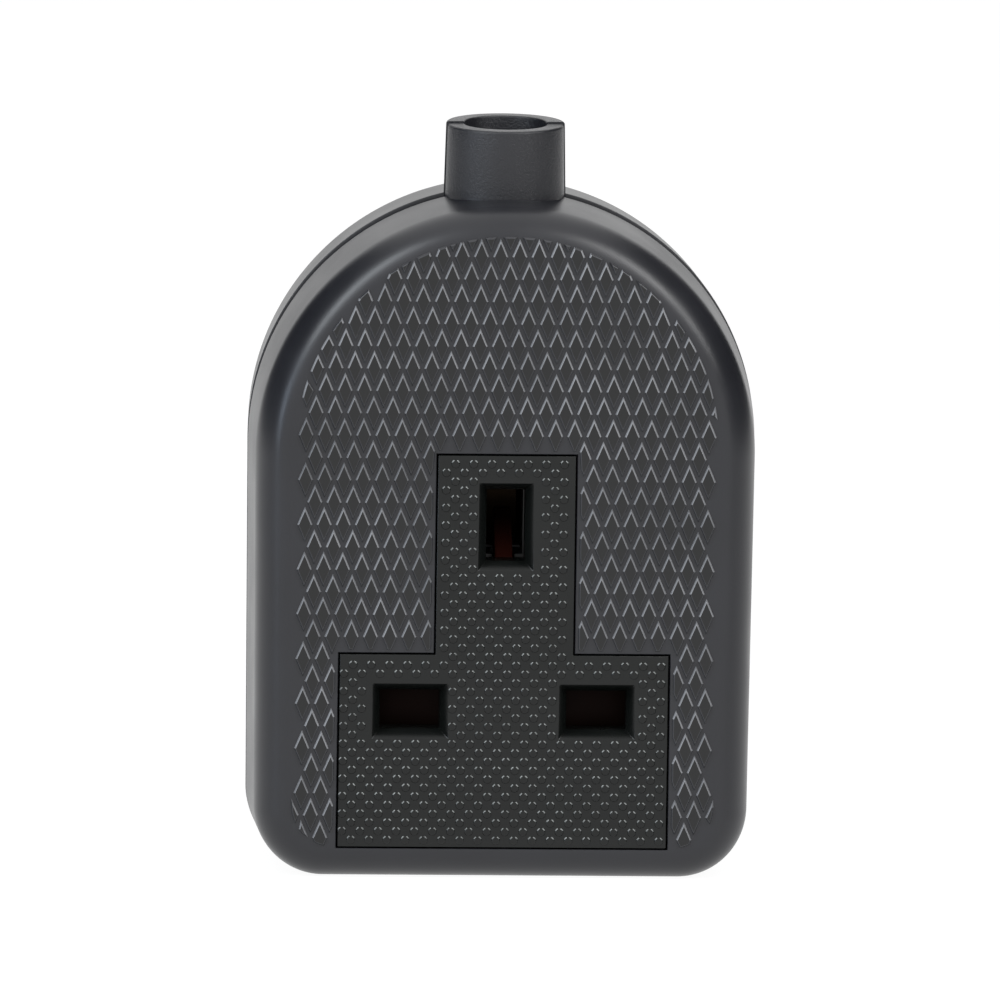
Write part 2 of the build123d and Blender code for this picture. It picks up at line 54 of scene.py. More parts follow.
# Depths are measured from the tops of the face's lozenges, at frontY, towards the back
casing = {
    "frontY": -17.0, "joint": 16.0, "back": 34.0, "face": 0.3,
    "halfWidth": 30.275, "height": 81.0, "lean": radians(0.46), "corner": 8.8, "draft": radians(2.8),
    "frontRounding": (4.0, 5.2, 4.2), "rearRounding": (7.4, 8.6, 8.0), "rearRise": 0.3,
    "wall": 2.5, "faceWall": 2.4, "backWall": 2.5, "innerRounding": 0.5,
    "groove": 1.3, "lip": 1.0, "tongueReach": 2.2, "play": 0.15,
    "edge": 0.12, "faceBand": 0.6,
    "archSteps": 184, "sideSteps": 24, "cornerSteps": 28, "floorSteps": 30, "roundingSteps": 22,
}
casing["archCentre"] = casing["height"] - casing["halfWidth"]
neck = {
    "above": 8.05, "tail": 4.75, "radius": 7.075, "draft": radians(1.3), "gap": 0.35, "bore": 4.88,
    "outerEdge": 0.3, "innerEdge": 0.2, "frontIn": 0.16, "frontLow": 0.22, "steps": 96,
}
neck["high"] = casing["height"] + neck["above"]
neck["low"] = casing["height"] - neck["tail"]
tee = {
    "bottom": 4.0, "footHalf": 19.575, "footHeight": 23.2, "stemHalf": 8.2, "stemHeight": 24.0,
    "windowGap": 0.2, "windowEdge": 0.08,
}
tee["footTop"] = tee["bottom"] + tee["footHeight"]
tee["stemTop"] = tee["footTop"] + tee["stemHeight"]
pinPitch = 22.23
slots = {"fromBottom": 16.4, "live": (7.13, 4.67), "earth": (4.6, 8.6), "bevel": 1.0}
slots["liveZ"] = tee["bottom"] + slots["fromBottom"]
slots["earthZ"] = slots["liveZ"] + pinPitch
slots["liveX"] = pinPitch / 2
lozenges = {
    "pitchX": 2.284, "pitchZ": 5.39, "phase": 3.76, "groove": 0.42, "sideRim": 5.1, "topRim": 3.45, "corner": 5.0,
    "border": 0.35, "smallest": 0.25, "sink": 0.25, "wallIn": 0.1, "shoulder": 0.05, "edgeIn": 0.09,
    "rows": (-1, 31), "columns": (-12, 13), "shortest": 0.02, "smallestTop": 0.01,
    "levelTop": 0.999, "upwards": 0.05, "steep": 1.5, "faint": 0.08,
}
pips = {
    "radius": 0.53, "edge": 0.34, "steepest": radians(58), "rings": 5,
    "sink": 0.1, "pitchX": 2.16, "pitchZ": 2.11, "shiftX": 0.35, "shiftZ": -0.21, "sides": 16,
    "fromEdge": 0.45, "fromSlot": 0.35, "rows": (0, 50), "columns": (-11, 12),
    # Tilts and bearings, in degrees, of the pip faces that get the painted highlight
    "glintTilt": (30, 62), "glintBearing": (15, 75),
}
fixings = {
    "upperInset": 8.4, "upperAngle": radians(32.2), "lowerInset": 6.25, "lowerZ": 10.6,
    "bossRadius": 2.8, "boreRadius": 1.55, "recessRadius": 2.8, "towerRadius": 4.1, "seat": 22.15,
    "towerNear": 16.1, "throughRadius": 1.7, "clampX": 8.5, "clampBelow": 6.6, "postRadius": 2.6,
    "steps": 40, "recessEdge": 0.15, "tipDepth": 6.95, "bossShort": 0.05, "postShort": 0.1,
    "past": 1.0, "throughStart": 13.1,
}
fixings["clampZ"] = neck["low"] - fixings["clampBelow"]


# Places of the four screws that join the covers: two on the arch, two in the lower corners
def coverScrewPlaces():
    radius, angle = casing["halfWidth"] - fixings["upperInset"], fixings["upperAngle"]
    upper = (radius * cos(angle), casing["archCentre"] + radius * sin(angle))
    lower = (casing["halfWidth"] - fixings["lowerInset"], fixings["lowerZ"])
    return [(side * x, z) for x, z in (upper, lower) for side in (-1, 1)]


# A mesh from points in millimetres and lists of corners, with sharp edges where faces meet at a clear angle
def newObject(name, points, faces, sharp=32.0):
    mesh = bpy.data.meshes.new(name)
    mesh.from_pydata((np.asarray(points, float) * mm).tolist(), [], faces)
    made = bpy.data.objects.new(name, mesh)
    bpy.context.scene.collection.objects.link(made)
    finishMesh(made, sharp)
    return made


# Normals point outwards, faces are smooth, and edges over the given angle stay sharp
def finishMesh(made, sharp):
    work = bmesh.new()
    work.from_mesh(made.data)
    bmesh.ops.recalc_face_normals(work, faces=work.faces)
    work.to_mesh(made.data)
    work.free()
    made.data.shade_smooth()
    made.data.set_sharp_from_angle(angle=radians(sharp))


# A closed solid from a pile of closed loops with as many points each: four-sided walls and a cap at each end
def pile(loops):
    loops = np.asarray(loops, float)
    rows, count = loops.shape[:2]
    row, here = np.meshgrid(np.arange(rows - 1) * count, np.arange(count), indexing="ij")
    there = (here + 1) % count
    walls = np.stack([row + here, row + there, row + count + there, row + count + here], axis=-1).reshape(-1, 4)
    caps = [list(range(count))[::-1], list(range((rows - 1) * count, rows * count))]
    return loops.reshape(-1, 3), walls.tolist() + caps


# Several solids as one list of points and one list of faces
def gather(shapes):
    points, faces, start = [], [], 0
    for shapePoints, shapeFaces in shapes:
        points.append(shapePoints)
        faces += [[corner + start for corner in face] for face in shapeFaces]
        start += len(shapePoints)
    return np.vstack(points), faces


# A flat outline (x, z) at a depth, as points in the part's own frame
def atDepth(outline, depth):
    outline = np.asarray(outline, float)
    y = np.full(len(outline), casing["frontY"] + depth)
    return np.column_stack([outline[:, 0], y, outline[:, 1]])


def circle(x, z, radius, steps=fixings["steps"]):
    turn = np.linspace(0, 2 * pi, steps, endpoint=False)
    return np.column_stack([x + radius * np.cos(turn), z + radius * np.sin(turn)])


# A round post along the depth
def post(x, z, radius, near, far):
    return pile([atDepth(circle(x, z, radius), near), atDepth(circle(x, z, radius), far)])


# A solid turned about an upright axis: each row is a circle with its own radius and height
def turned(rows, depth, steps):
    loops = []
    for radius, z in rows:
        flat = circle(0, 0, radius, steps)
        loops.append(np.column_stack([flat[:, 0], flat[:, 1] + casing["frontY"] + depth, np.full(steps, z)]))
    return pile(loops)


def applyModifiers(made):
    graph = bpy.context.evaluated_depsgraph_get()
    mesh = bpy.data.meshes.new_from_object(made.evaluated_get(graph))
    made.modifiers.clear()
    old = made.data
    made.data = mesh
    bpy.data.meshes.remove(old)


# Adds a shape to a piece or takes it away, with both kept closed
def combine(made, shape, how):
    tool = newObject("tool", *shape)
    change = made.modifiers.new("combine", "BOOLEAN")
    change.operation = how
    change.object = tool
    change.solver = "MANIFOLD"
    bpy.context.view_layer.update()
    applyModifiers(made)
    mesh = tool.data
    bpy.data.objects.remove(tool)
    bpy.data.meshes.remove(mesh)
    if len(made.data.polygons) == 0:
        raise RuntimeError(f"{made.name} came out empty")


# The casing's outline: an arch, two leaning sides, two corners and the floor
# Each sample holds the angle of its outward normal and its shares of the arch, the right and the left corner
def outlineSamples():
    lean = casing["lean"]
    arch, right, left = (1, 0, 0), (0, 1, 0), (0, 0, 1)
    stretches = [
        (-lean, pi + lean, casing["archSteps"], arch, arch),
        (pi + lean, pi + lean, casing["sideSteps"], arch, left),
        (pi + lean, 1.5 * pi, casing["cornerSteps"], left, left),
        (1.5 * pi, 1.5 * pi, casing["floorSteps"], left, right),
        (-0.5 * pi, -lean, casing["cornerSteps"], right, right),
        (-lean, -lean, casing["sideSteps"], right, arch),
    ]
    samples = []
    for start, end, steps, first, last in stretches:
        along = np.linspace(0, 1, steps, endpoint=False)
        shares = np.outer(1 - along, first) + np.outer(along, last)
        samples.append(np.column_stack([start + (end - start) * along, shares]))
    return np.vstack(samples).T


normalAngle, archShare, rightShare, leftShare = outlineSamples()
cornerShare = rightShare + leftShare
draftShare = archShare + cornerShare * (1 + np.sin(normalAngle))  # none on the floor, part on the corners


# A point is its arc's centre plus the arc's radius times the normal; straight stretches mix the ends of two arcs
def outlineAt(narrow, inset, rise):
    lean = casing["lean"]
    radius = casing["halfWidth"] - inset - narrow
    corner = casing["corner"] - inset - narrow
    archZ = casing["archCentre"] + rise
    cornerZ = casing["corner"] - narrow
    sideX = radius * cos(lean)
    sideZ = archZ - radius * sin(lean)
    cornerX = sideX - (sideZ - cornerZ) * tan(lean) - corner / cos(lean)
    reach = archShare * radius + cornerShare * corner
    x = reach * np.cos(normalAngle) + (rightShare - leftShare) * cornerX
    z = reach * np.sin(normalAngle) + archShare * archZ + cornerShare * cornerZ
    return x, z


# Rows of (depth, inset, rise) carried round the outline; the draft narrows it away from the joint
def carriedRound(rows):
    count = len(normalAngle)
    depth, inset, rise = (np.array([np.broadcast_to(row[i], count) for row in rows], float) for i in range(3))
    narrow = np.abs(depth - casing["joint"]) * tan(casing["draft"])
    x, z = outlineAt(narrow, inset, rise)
    return np.stack([x, casing["frontY"] + depth, z], axis=-1)


# A rounded edge from a flat face to the drafted side: a quarter of an ellipse, sheared by the draft
# Its sizes are the reach across the face, then along the side where that is drafted, then along the plain floor
def rounding(sizes, faceDepth, extra, rise, steps):
    across, drafted, plain = sizes
    along = plain + (drafted - plain) * draftShare
    inwards = 1 if faceDepth < casing["joint"] else -1
    rows = []
    for turn in np.linspace(pi / 2, 0, steps):
        depth = faceDepth + inwards * along * (1 - sin(turn))
        rows.append((depth, extra + across * (1 - cos(turn)), rise))
    return rows


def straight(start, end, inset, rise, steps):
    return [(depth, inset, rise) for depth in np.linspace(start, end, steps)]


def quarterEdge(depth, size, outwards, rise):
    turns = np.linspace(0, pi / 2, 4)
    return [(depth + outwards * size * (1 - sin(turn)), size * (1 - cos(turn)), rise) for turn in turns]


def frontShell():
    faceDepth = casing["face"]
    outer = rounding(casing["frontRounding"], faceDepth, 0, 0, casing["roundingSteps"])
    band = (faceDepth, outer[0][1] + casing["faceBand"], 0)
    partingDepth = casing["joint"] - casing["groove"] / 2
    rows = [band] + outer
    rows += straight(outer[-1][0].max() + 0.5, partingDepth - 2 * casing["edge"], 0, 0, 5)
    rows += quarterEdge(partingDepth, casing["edge"], -1, 0)
    lipDepth = casing["joint"] - casing["tongueReach"] - casing["play"]
    rows += straight(partingDepth, lipDepth, casing["lip"], 0, 3)
    hollow = (casing["innerRounding"],) * 3
    inner = rounding(hollow, faceDepth + casing["faceWall"], casing["wall"], 0, 4)
    rows += straight(lipDepth, inner[-1][0].max() + 0.5, casing["wall"], 0, 4) + inner[::-1]
    rows.append((faceDepth + casing["faceWall"], inner[0][1] + casing["faceBand"], 0))
    return pile(carriedRound(rows))


def rearShell():
    rise = casing["rearRise"]
    outer = rounding(casing["rearRounding"], casing["back"], 0, rise, casing["roundingSteps"] + 6)
    band = (casing["back"], outer[0][1] + casing["faceBand"], rise)
    partingDepth = casing["joint"] + casing["groove"] / 2
    rows = [band] + outer
    rows += straight(outer[-1][0].min() - 0.5, partingDepth + 2 * casing["edge"], 0, rise, 5)
    rows += quarterEdge(partingDepth, casing["edge"], 1, rise)
    tongue = casing["lip"] + casing["play"]
    rows += straight(partingDepth, casing["joint"] - casing["tongueReach"], tongue, 0, 3)
    rows.append((casing["joint"] - casing["tongueReach"], casing["wall"], 0))
    hollow = tuple(size - casing["wall"] for size in casing["rearRounding"])
    inner = rounding(hollow, casing["back"] - casing["backWall"], casing["wall"], rise, 10)
    rows += straight(partingDepth, inner[-1][0].min() - 0.5, casing["wall"], rise, 4) + inner[::-1]
    rows.append((casing["back"] - casing["backWall"], inner[0][1] + casing["faceBand"], rise))
    return pile(carriedRound(rows))


# Half of the neck as a solid D: an arc and the flat parting face, with a rounded upper edge
def neckHalf(side):
    gap = neck["gap"] / 2
    edge = neck["outerEdge"]
    high = neck["high"] - (neck["frontLow"] if side < 0 else 0)
    rows = [(neck["low"] + share * (high - edge - neck["low"]), 0) for share in np.linspace(0, 1, 6)]
    rows += [(high - edge * (1 - sin(turn)), edge * (1 - cos(turn))) for turn in np.linspace(0.2, pi / 2, 6)]
    loops = []
    for z, inset in rows:
        radius = neck["radius"] + (neck["high"] - z) * tan(neck["draft"]) - inset
        if side < 0:
            radius -= neck["frontIn"]
        low = np.arcsin(gap / radius)
        turn = np.linspace(low, pi - low, neck["steps"])
        y = casing["frontY"] + casing["joint"] + side * radius * np.sin(turn)
        loops.append(np.column_stack([radius * np.cos(turn), y, np.full(len(turn), z)]))
    return pile(loops)


# The neck's bore, with a small flare that rounds its mouth
def boreTool(side):
    edge = neck["innerEdge"]
    high = neck["high"] - (neck["frontLow"] if side < 0 else 0)
    rows = [(neck["bore"], neck["low"] - neck["tail"]), (neck["bore"], high - edge)]
    rows += [(neck["bore"] + edge * (1 - cos(turn)), high - edge * (1 - sin(turn)))
             for turn in np.linspace(0.3, pi / 2, 5)]
    rows.append((neck["bore"] + edge, high + 1))
    return turned(rows, casing["joint"], neck["steps"])


# The T outline grown by an amount, from its lower left corner round
def teeOutline(grow):
    foot, stem = tee["footHalf"] + grow, tee["stemHalf"] + grow
    low, waist, high = tee["bottom"] - grow, tee["footTop"] + grow, tee["stemTop"] + grow
    return np.array([(-foot, low), (foot, low), (foot, waist), (stem, waist),
                     (stem, high), (-stem, high), (-stem, waist), (-foot, waist)])


def windowTool():
    face, gap, edge = casing["face"], tee["windowGap"], tee["windowEdge"]
    steps = [(-1, gap + edge), (face, gap + edge), (face + edge, gap), (face + casing["faceWall"] + 1, gap)]
    return pile([atDepth(teeOutline(grow), depth) for depth, grow in steps])


# The field's edge: an arch over two straight sides and two rounded corners
def fieldOutline():
    half = casing["halfWidth"] - lozenges["sideRim"]
    top = casing["archCentre"] + casing["halfWidth"] - lozenges["topRim"]
    centre, corner, low = top - half, lozenges["corner"], tee["bottom"]
    arch = np.linspace(0, pi, 120)
    turn = np.linspace(pi, 1.5 * pi, 16)
    left = np.column_stack([corner - half + corner * np.cos(turn), low + corner + corner * np.sin(turn)])
    right = np.column_stack([-left[::-1, 0], left[::-1, 1]])
    return np.vstack([np.column_stack([half * np.cos(arch), centre + half * np.sin(arch)]), left, right])


# Cuts a convex outline by a line and keeps the part on the side of the inward normal
def cutByLine(outline, point, inward):
    side = (outline - point) @ inward
    kept = []
    for here, there, a, b in zip(outline, np.roll(outline, -1, axis=0), side, np.roll(side, -1)):
        if a >= 0:
            kept.append(here)
        if a * b < 0:
            kept.append(here + (there - here) * a / (a - b))
    return np.array(kept)


def areaOf(outline):
    x, z = outline.T
    return 0.5 * np.sum(x * np.roll(z, -1) - np.roll(x, -1) * z)


# Every edge of an outline moved inwards by an amount; edges that would turn over are dropped first
def drawnIn(outline, amount):
    while len(outline) > 3:
        edges = np.roll(outline, -1, axis=0) - outline
        normals = np.column_stack([-edges[:, 1], edges[:, 0]]) / np.linalg.norm(edges, axis=1)[:, None]
        before = np.roll(normals, 1, axis=0)
        shift = (before + normals) / (1 + np.sum(before * normals, axis=1))[:, None]
        moved = outline + shift * amount
        kept = np.sum((np.roll(moved, -1, axis=0) - moved) * edges, axis=1) > 0
        if kept.all():
            return moved, outline
        worst = int(np.argmin(np.linalg.norm(edges, axis=1)))
        outline = np.delete(outline, worst, axis=0)
    return None, outline


# The whole lozenges in staggered rows, cut to the field and then round the T window
def lozengeOutlines():
    halfX, halfZ = lozenges["pitchX"] / 2, lozenges["pitchZ"] / 2
    shrink = 1 - lozenges["groove"] / 2 * hypot(halfX, halfZ) / (halfX * halfZ)
    one = np.array([(halfX, 0), (0, halfZ), (-halfX, 0), (0, -halfZ)]) * shrink
    field = fieldOutline()
    along = np.roll(field, -1, axis=0) - field
    inward = np.column_stack([-along[:, 1], along[:, 0]])
    found = []
    for row in range(*lozenges["rows"]):
        for column in range(*lozenges["columns"]):
            z = tee["bottom"] + lozenges["phase"] + row * halfZ
            middle = np.array([column * lozenges["pitchX"] + halfX * (row % 2), z])
            outline = one + middle
            outside = (outline[:, None, :] - field[None, :, :]) * inward[None, :, :]
            crossed = np.nonzero((outside.sum(axis=2) < 0).any(axis=0))[0]
            for index in crossed:
                if len(outline) > 2:
                    outline = cutByLine(outline, field[index], inward[index])
            if len(outline) > 2:
                found.append(outline)
    return aroundWindow(found)


# Cuts the outlines along the window's edges near each edge, drops what lies inside and heals the cuts outside
def aroundWindow(outlines):
    work = bmesh.new()
    for outline in outlines:
        work.faces.new([work.verts.new((x, z, 0)) for x, z in outline])
    window = teeOutline(tee["windowGap"] + lozenges["border"])
    reach = 0.01
    for start, end in zip(window[1:], np.roll(window, -1, axis=0)[1:]):
        low, high = np.minimum(start, end) - reach, np.maximum(start, end) + reach
        near = []
        for face in work.faces:
            points = np.array([corner.co[:2] for corner in face.verts])
            if (points.max(axis=0) > low).all() and (points.min(axis=0) < high).all():
                near.append(face)
        geometry = near + [edge for face in near for edge in face.edges] + [v for face in near for v in face.verts]
        along = end - start
        bmesh.ops.bisect_plane(work, geom=list(set(geometry)), plane_co=(*start, 0),
                               plane_no=(along[1], -along[0], 0))
    inside = []
    for face in work.faces:
        x, z = face.calc_center_median()[:2]
        inFoot = abs(x) < window[1][0] and z < window[2][1]
        inStem = abs(x) < window[3][0] and z < window[4][1]
        if inFoot or inStem:
            inside.append(face)
    bmesh.ops.delete(work, geom=inside, context="FACES")
    shared = [edge for edge in work.edges if len(edge.link_faces) == 2]
    bmesh.ops.dissolve_edges(work, edges=shared, use_verts=True)
    kept = []
    for face in work.faces:
        outline = np.array([corner.co[:2] for corner in face.verts])
        if areaOf(outline) < 0:
            outline = outline[::-1]
        if areaOf(outline) > lozenges["smallest"]:
            kept.append(outline)
    work.free()
    return kept


# A raised lozenge: a sunk root, a drafted wall, and a flat top inside a narrow bevel
def lozengeSolid(outline):
    edgesApart = np.linalg.norm(outline - np.roll(outline, 1, axis=0), axis=1) > lozenges["shortest"]
    outline = outline[edgesApart]
    inner, outline = drawnIn(outline, lozenges["wallIn"] + lozenges["edgeIn"])
    if inner is None or areaOf(inner) < lozenges["smallestTop"]:
        return None
    share = lozenges["wallIn"] / (lozenges["wallIn"] + lozenges["edgeIn"])
    shoulder = outline + (inner - outline) * share
    root = casing["face"]
    steps = [(outline, root + lozenges["sink"]), (outline, root), (shoulder, lozenges["shoulder"]), (inner, 0)]
    return pile([atDepth(flat, depth) for flat, depth in steps])


# A pip: a low button whose edge is an arc, from steep at its foot to level at its flat top
def pipSolid(x, z):
    edge, steepest = pips["edge"], pips["steepest"]
    loops = [atDepth(circle(x, z, pips["radius"], pips["sides"]), casing["face"] + pips["sink"])]
    for tilt in np.linspace(steepest, 0, pips["rings"]):
        outline = circle(x, z, pips["radius"] - edge * (sin(steepest) - sin(tilt)), pips["sides"])
        loops.append(atDepth(outline, casing["face"] - edge * (cos(tilt) - cos(steepest))))
    return pile(loops)


def pipPlaces():
    halfX, halfZ = pips["pitchX"] / 2, pips["pitchZ"] / 2
    openings = [(-slots["liveX"], slots["liveZ"], slots["live"]), (slots["liveX"], slots["liveZ"], slots["live"]),
                (0, slots["earthZ"], slots["earth"])]
    places = []
    for row in range(*pips["rows"]):
        z = tee["bottom"] + pips["shiftZ"] + row * halfZ
        for column in range(*pips["columns"]):
            x = pips["shiftX"] + column * pips["pitchX"] + halfX * (row % 2)
            room = pips["fromEdge"]
            inFoot = abs(x) < tee["footHalf"] - room and tee["bottom"] + room < z < tee["footTop"] - room
            inStem = abs(x) < tee["stemHalf"] - room and tee["bottom"] + room < z < tee["stemTop"] - room
            space = slots["bevel"] + pips["fromSlot"]
            nearSlot = any(abs(x - slotX) < width / 2 + space and abs(z - slotZ) < height / 2 + space
                           for slotX, slotZ, (width, height) in openings)
            if (inFoot or inStem) and not nearSlot:
                places.append((x, z))
    return places


edgeSizes = {"insert": 0.09, "moulded": 0.12, "clamp": 0.2, "brass": 0.06, "steel": 0.05}


# A copy of a CAD node with its triangles joined to flat faces and its edges slightly rounded
def dressed(node, edge, segments=2, sharp=32.0):
    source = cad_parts[node]
    work = bmesh.new()
    work.from_mesh(source.data)
    bmesh.ops.remove_doubles(work, verts=work.verts, dist=0.002 * mm)
    bmesh.ops.dissolve_limit(work, angle_limit=radians(1), verts=work.verts, edges=work.edges)
    mesh = bpy.data.meshes.new(f"{node}_piece")
    work.to_mesh(mesh)
    work.free()
    made = bpy.data.objects.new(f"{node}_piece", mesh)
    bpy.context.scene.collection.objects.link(made)
    if edge:
        bevel = made.modifiers.new("edges", "BEVEL")
        bevel.width = edge * mm
        bevel.segments = segments
        bevel.limit_method = "ANGLE"
        bevel.angle_limit = radians(sharp)
        bevel.use_clamp_overlap = True
        bpy.context.view_layer.update()
        applyModifiers(made)
    made.data.shade_smooth()
    made.data.set_sharp_from_angle(angle=radians(sharp))
    return made


# Joins more closed shapes to a finished piece without touching its faces
def addShapes(made, shapes, sharp=32.0):
    extra = newObject("extra", *gather(shapes), sharp=sharp)
    work = bmesh.new()
    work.from_mesh(made.data)
    work.from_mesh(extra.data)
    work.to_mesh(made.data)
    work.free()
    mesh = extra.data
    bpy.data.objects.remove(extra)
    bpy.data.meshes.remove(mesh)


def settle(made, slot, body, material, *nodes):
    made.data.materials.clear()
    made.data.materials.append(material)
    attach(made, body)
    if nodes:
        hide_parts(*nodes)
    return made


def addNode(tree, kind, inputs=None, **settings):
    made = tree.nodes.new(kind)
    for key, value in settings.items():
        setattr(made, key, value)
    for key, value in (inputs or {}).items():
        if isinstance(value, bpy.types.NodeSocket):
            tree.links.new(value, made.inputs[key])
        else:
            made.inputs[key].default_value = value
    return made


def newMaterial(name):
    material = bpy.data.materials.new(name)
    material.use_nodes = True
    material.node_tree.nodes.clear()
    return material, material.node_tree


# Moulded plastic: a slightly uneven colour and sheen, with a fine grain in the surface
def mouldedPlastic(name, look):
    material, tree = newMaterial(name)
    place = addNode(tree, "ShaderNodeTexCoord").outputs["Object"]
    cloud = addNode(tree, "ShaderNodeTexNoise", {"Vector": place, "Scale": look["cloudScale"], "Detail": 3.0})
    tint = addNode(tree, "ShaderNodeMix", {"Factor": cloud.outputs["Fac"]}, data_type="RGBA")
    tint.inputs["A"].default_value = (*look["dark"], 1)
    tint.inputs["B"].default_value = (*look["light"], 1)
    sheen = addNode(tree, "ShaderNodeMapRange", {"Value": cloud.outputs["Fac"], "From Min": 0.3, "From Max": 0.7,
                                                 "To Min": look["rough"][0], "To Max": look["rough"][1]})
    grain = addNode(tree, "ShaderNodeTexNoise", {"Vector": place, "Scale": look["grainScale"], "Detail": 2.0})
    bump = addNode(tree, "ShaderNodeBump", {"Height": grain.outputs["Fac"], "Strength": look["grain"],
                                            "Distance": look["grainDepth"] * mm})
    colour = tint.outputs["Result"]
    if "coarse" in look:
        bump = coarseNeck(tree, place, bump, look["coarse"])
        # A darker colour on the lozenges' flat tops
        colour = markedColour(tree, colour, "darkTop", look["darkTop"], 1.0)
        # Painted highlight on the lozenges' walls that look upwards, faint on their other walls
        colour = markedColour(tree, colour, "paintedGlint", look["paintedGlint"], cloud.outputs["Fac"])
    if "ramp" in look:
        # Painted light on the shutter's ramp inside the earth slot
        colour = rampColour(tree, place, colour, look["ramp"])
    if "pipGlint" in look:
        # Painted highlight on the upper left and upper right of each pip's edge
        colour = markedColour(tree, colour, "pipGlint", look["pipGlint"], cloud.outputs["Fac"])
    shader = addNode(tree, "ShaderNodeBsdfPrincipled", {"Base Color": colour, "Roughness": sheen.outputs["Result"],
                                                        "Normal": bump.outputs["Normal"]})
    shader.inputs["Specular IOR Level"].default_value = look.get("shine", 0.5)
    addNode(tree, "ShaderNodeOutputMaterial", {"Surface": shader.outputs["BSDF"]})
    return material


# Another colour where the mesh is marked, as strongly as the mark times the given share
def markedColour(tree, colour, mark, other, share):
    marked = addNode(tree, "ShaderNodeAttribute", attribute_name=mark).outputs["Fac"]
    factor = addNode(tree, "ShaderNodeMath", {0: marked, 1: share}, operation="MULTIPLY")
    return blended(tree, colour, factor.outputs[0], other)


def blended(tree, colour, factor, other):
    mix = addNode(tree, "ShaderNodeMix", {"Factor": factor}, data_type="RGBA")
    tree.links.new(colour, mix.inputs["A"])
    mix.inputs["B"].default_value = (*other, 1)
    return mix.outputs["Result"]


# Painted light on the shutter's ramp: the red fades in down the ramp, where light falls into the earth slot, and
# ends above the blades, which keep the near-black painted shade
def rampColour(tree, place, colour, look):
    height = addNode(tree, "ShaderNodeSeparateXYZ", {"Vector": place}).outputs["Z"]
    share = addNode(tree, "ShaderNodeMapRange", {"Value": height, "From Min": look["high"] * mm,
                                                 "From Max": look["low"] * mm})
    above = addNode(tree, "ShaderNodeMath", {0: height, 1: look["end"] * mm}, operation="GREATER_THAN")
    factor = addNode(tree, "ShaderNodeMath", {0: share.outputs["Result"], 1: above.outputs[0]},
                     operation="MULTIPLY")
    return blended(tree, colour, factor.outputs[0], look["colour"])


# The neck has a coarser, sparkling grain than the rest: its bump fades in above the arch's top
def coarseNeck(tree, place, bump, look):
    height = addNode(tree, "ShaderNodeSeparateXYZ", {"Vector": place}).outputs["Z"]
    share = addNode(tree, "ShaderNodeMapRange", {"Value": height, "From Min": look["from"] * mm,
                                                 "From Max": look["to"] * mm})
    cells = addNode(tree, "ShaderNodeTexNoise", {"Vector": place, "Scale": look["scale"], "Detail": 4.0,
                                                 "Roughness": 0.7})
    strength = addNode(tree, "ShaderNodeMath", {0: share.outputs["Result"], 1: look["strength"]},
                       operation="MULTIPLY")
    return addNode(tree, "ShaderNodeBump", {"Height": cells.outputs["Fac"], "Strength": strength.outputs[0],
                                            "Distance": look["depth"] * mm, "Normal": bump.outputs["Normal"]})


# Bare metal with fine streaks; where its mesh is marked, the colour turns dark as painted shade deep in the socket
def stampedMetal(name, look):
    material, tree = newMaterial(name)
    place = addNode(tree, "ShaderNodeTexCoord").outputs["Object"]
    streaks = addNode(tree, "ShaderNodeMapping", {"Vector": place, "Scale": look["stretch"]})
    brushed = addNode(tree, "ShaderNodeTexNoise", {"Vector": streaks.outputs["Vector"], "Scale": look["scale"],
                                                   "Detail": 3.0})
    sheen = addNode(tree, "ShaderNodeMapRange", {"Value": brushed.outputs["Fac"], "To Min": look["rough"][0],
                                                 "To Max": look["rough"][1]})
    bump = addNode(tree, "ShaderNodeBump", {"Height": brushed.outputs["Fac"], "Strength": 0.15,
                                            "Distance": 0.01 * mm})
    shader = addNode(tree, "ShaderNodeBsdfPrincipled", {"Base Color": (*look["colour"], 1), "Metallic": 1.0,
                                                        "Roughness": sheen.outputs["Result"],
                                                        "Normal": bump.outputs["Normal"]})
    if "jawShade" in look:
        colour = addNode(tree, "ShaderNodeRGB")
        colour.outputs[0].default_value = (*look["colour"], 1)
        # Painted shade on the marked jaws
        colour = markedColour(tree, colour.outputs[0], "jawShade", look["jawShade"], 1.0)
        tree.links.new(colour, shader.inputs["Base Color"])
    addNode(tree, "ShaderNodeOutputMaterial", {"Surface": shader.outputs["BSDF"]})
    return material


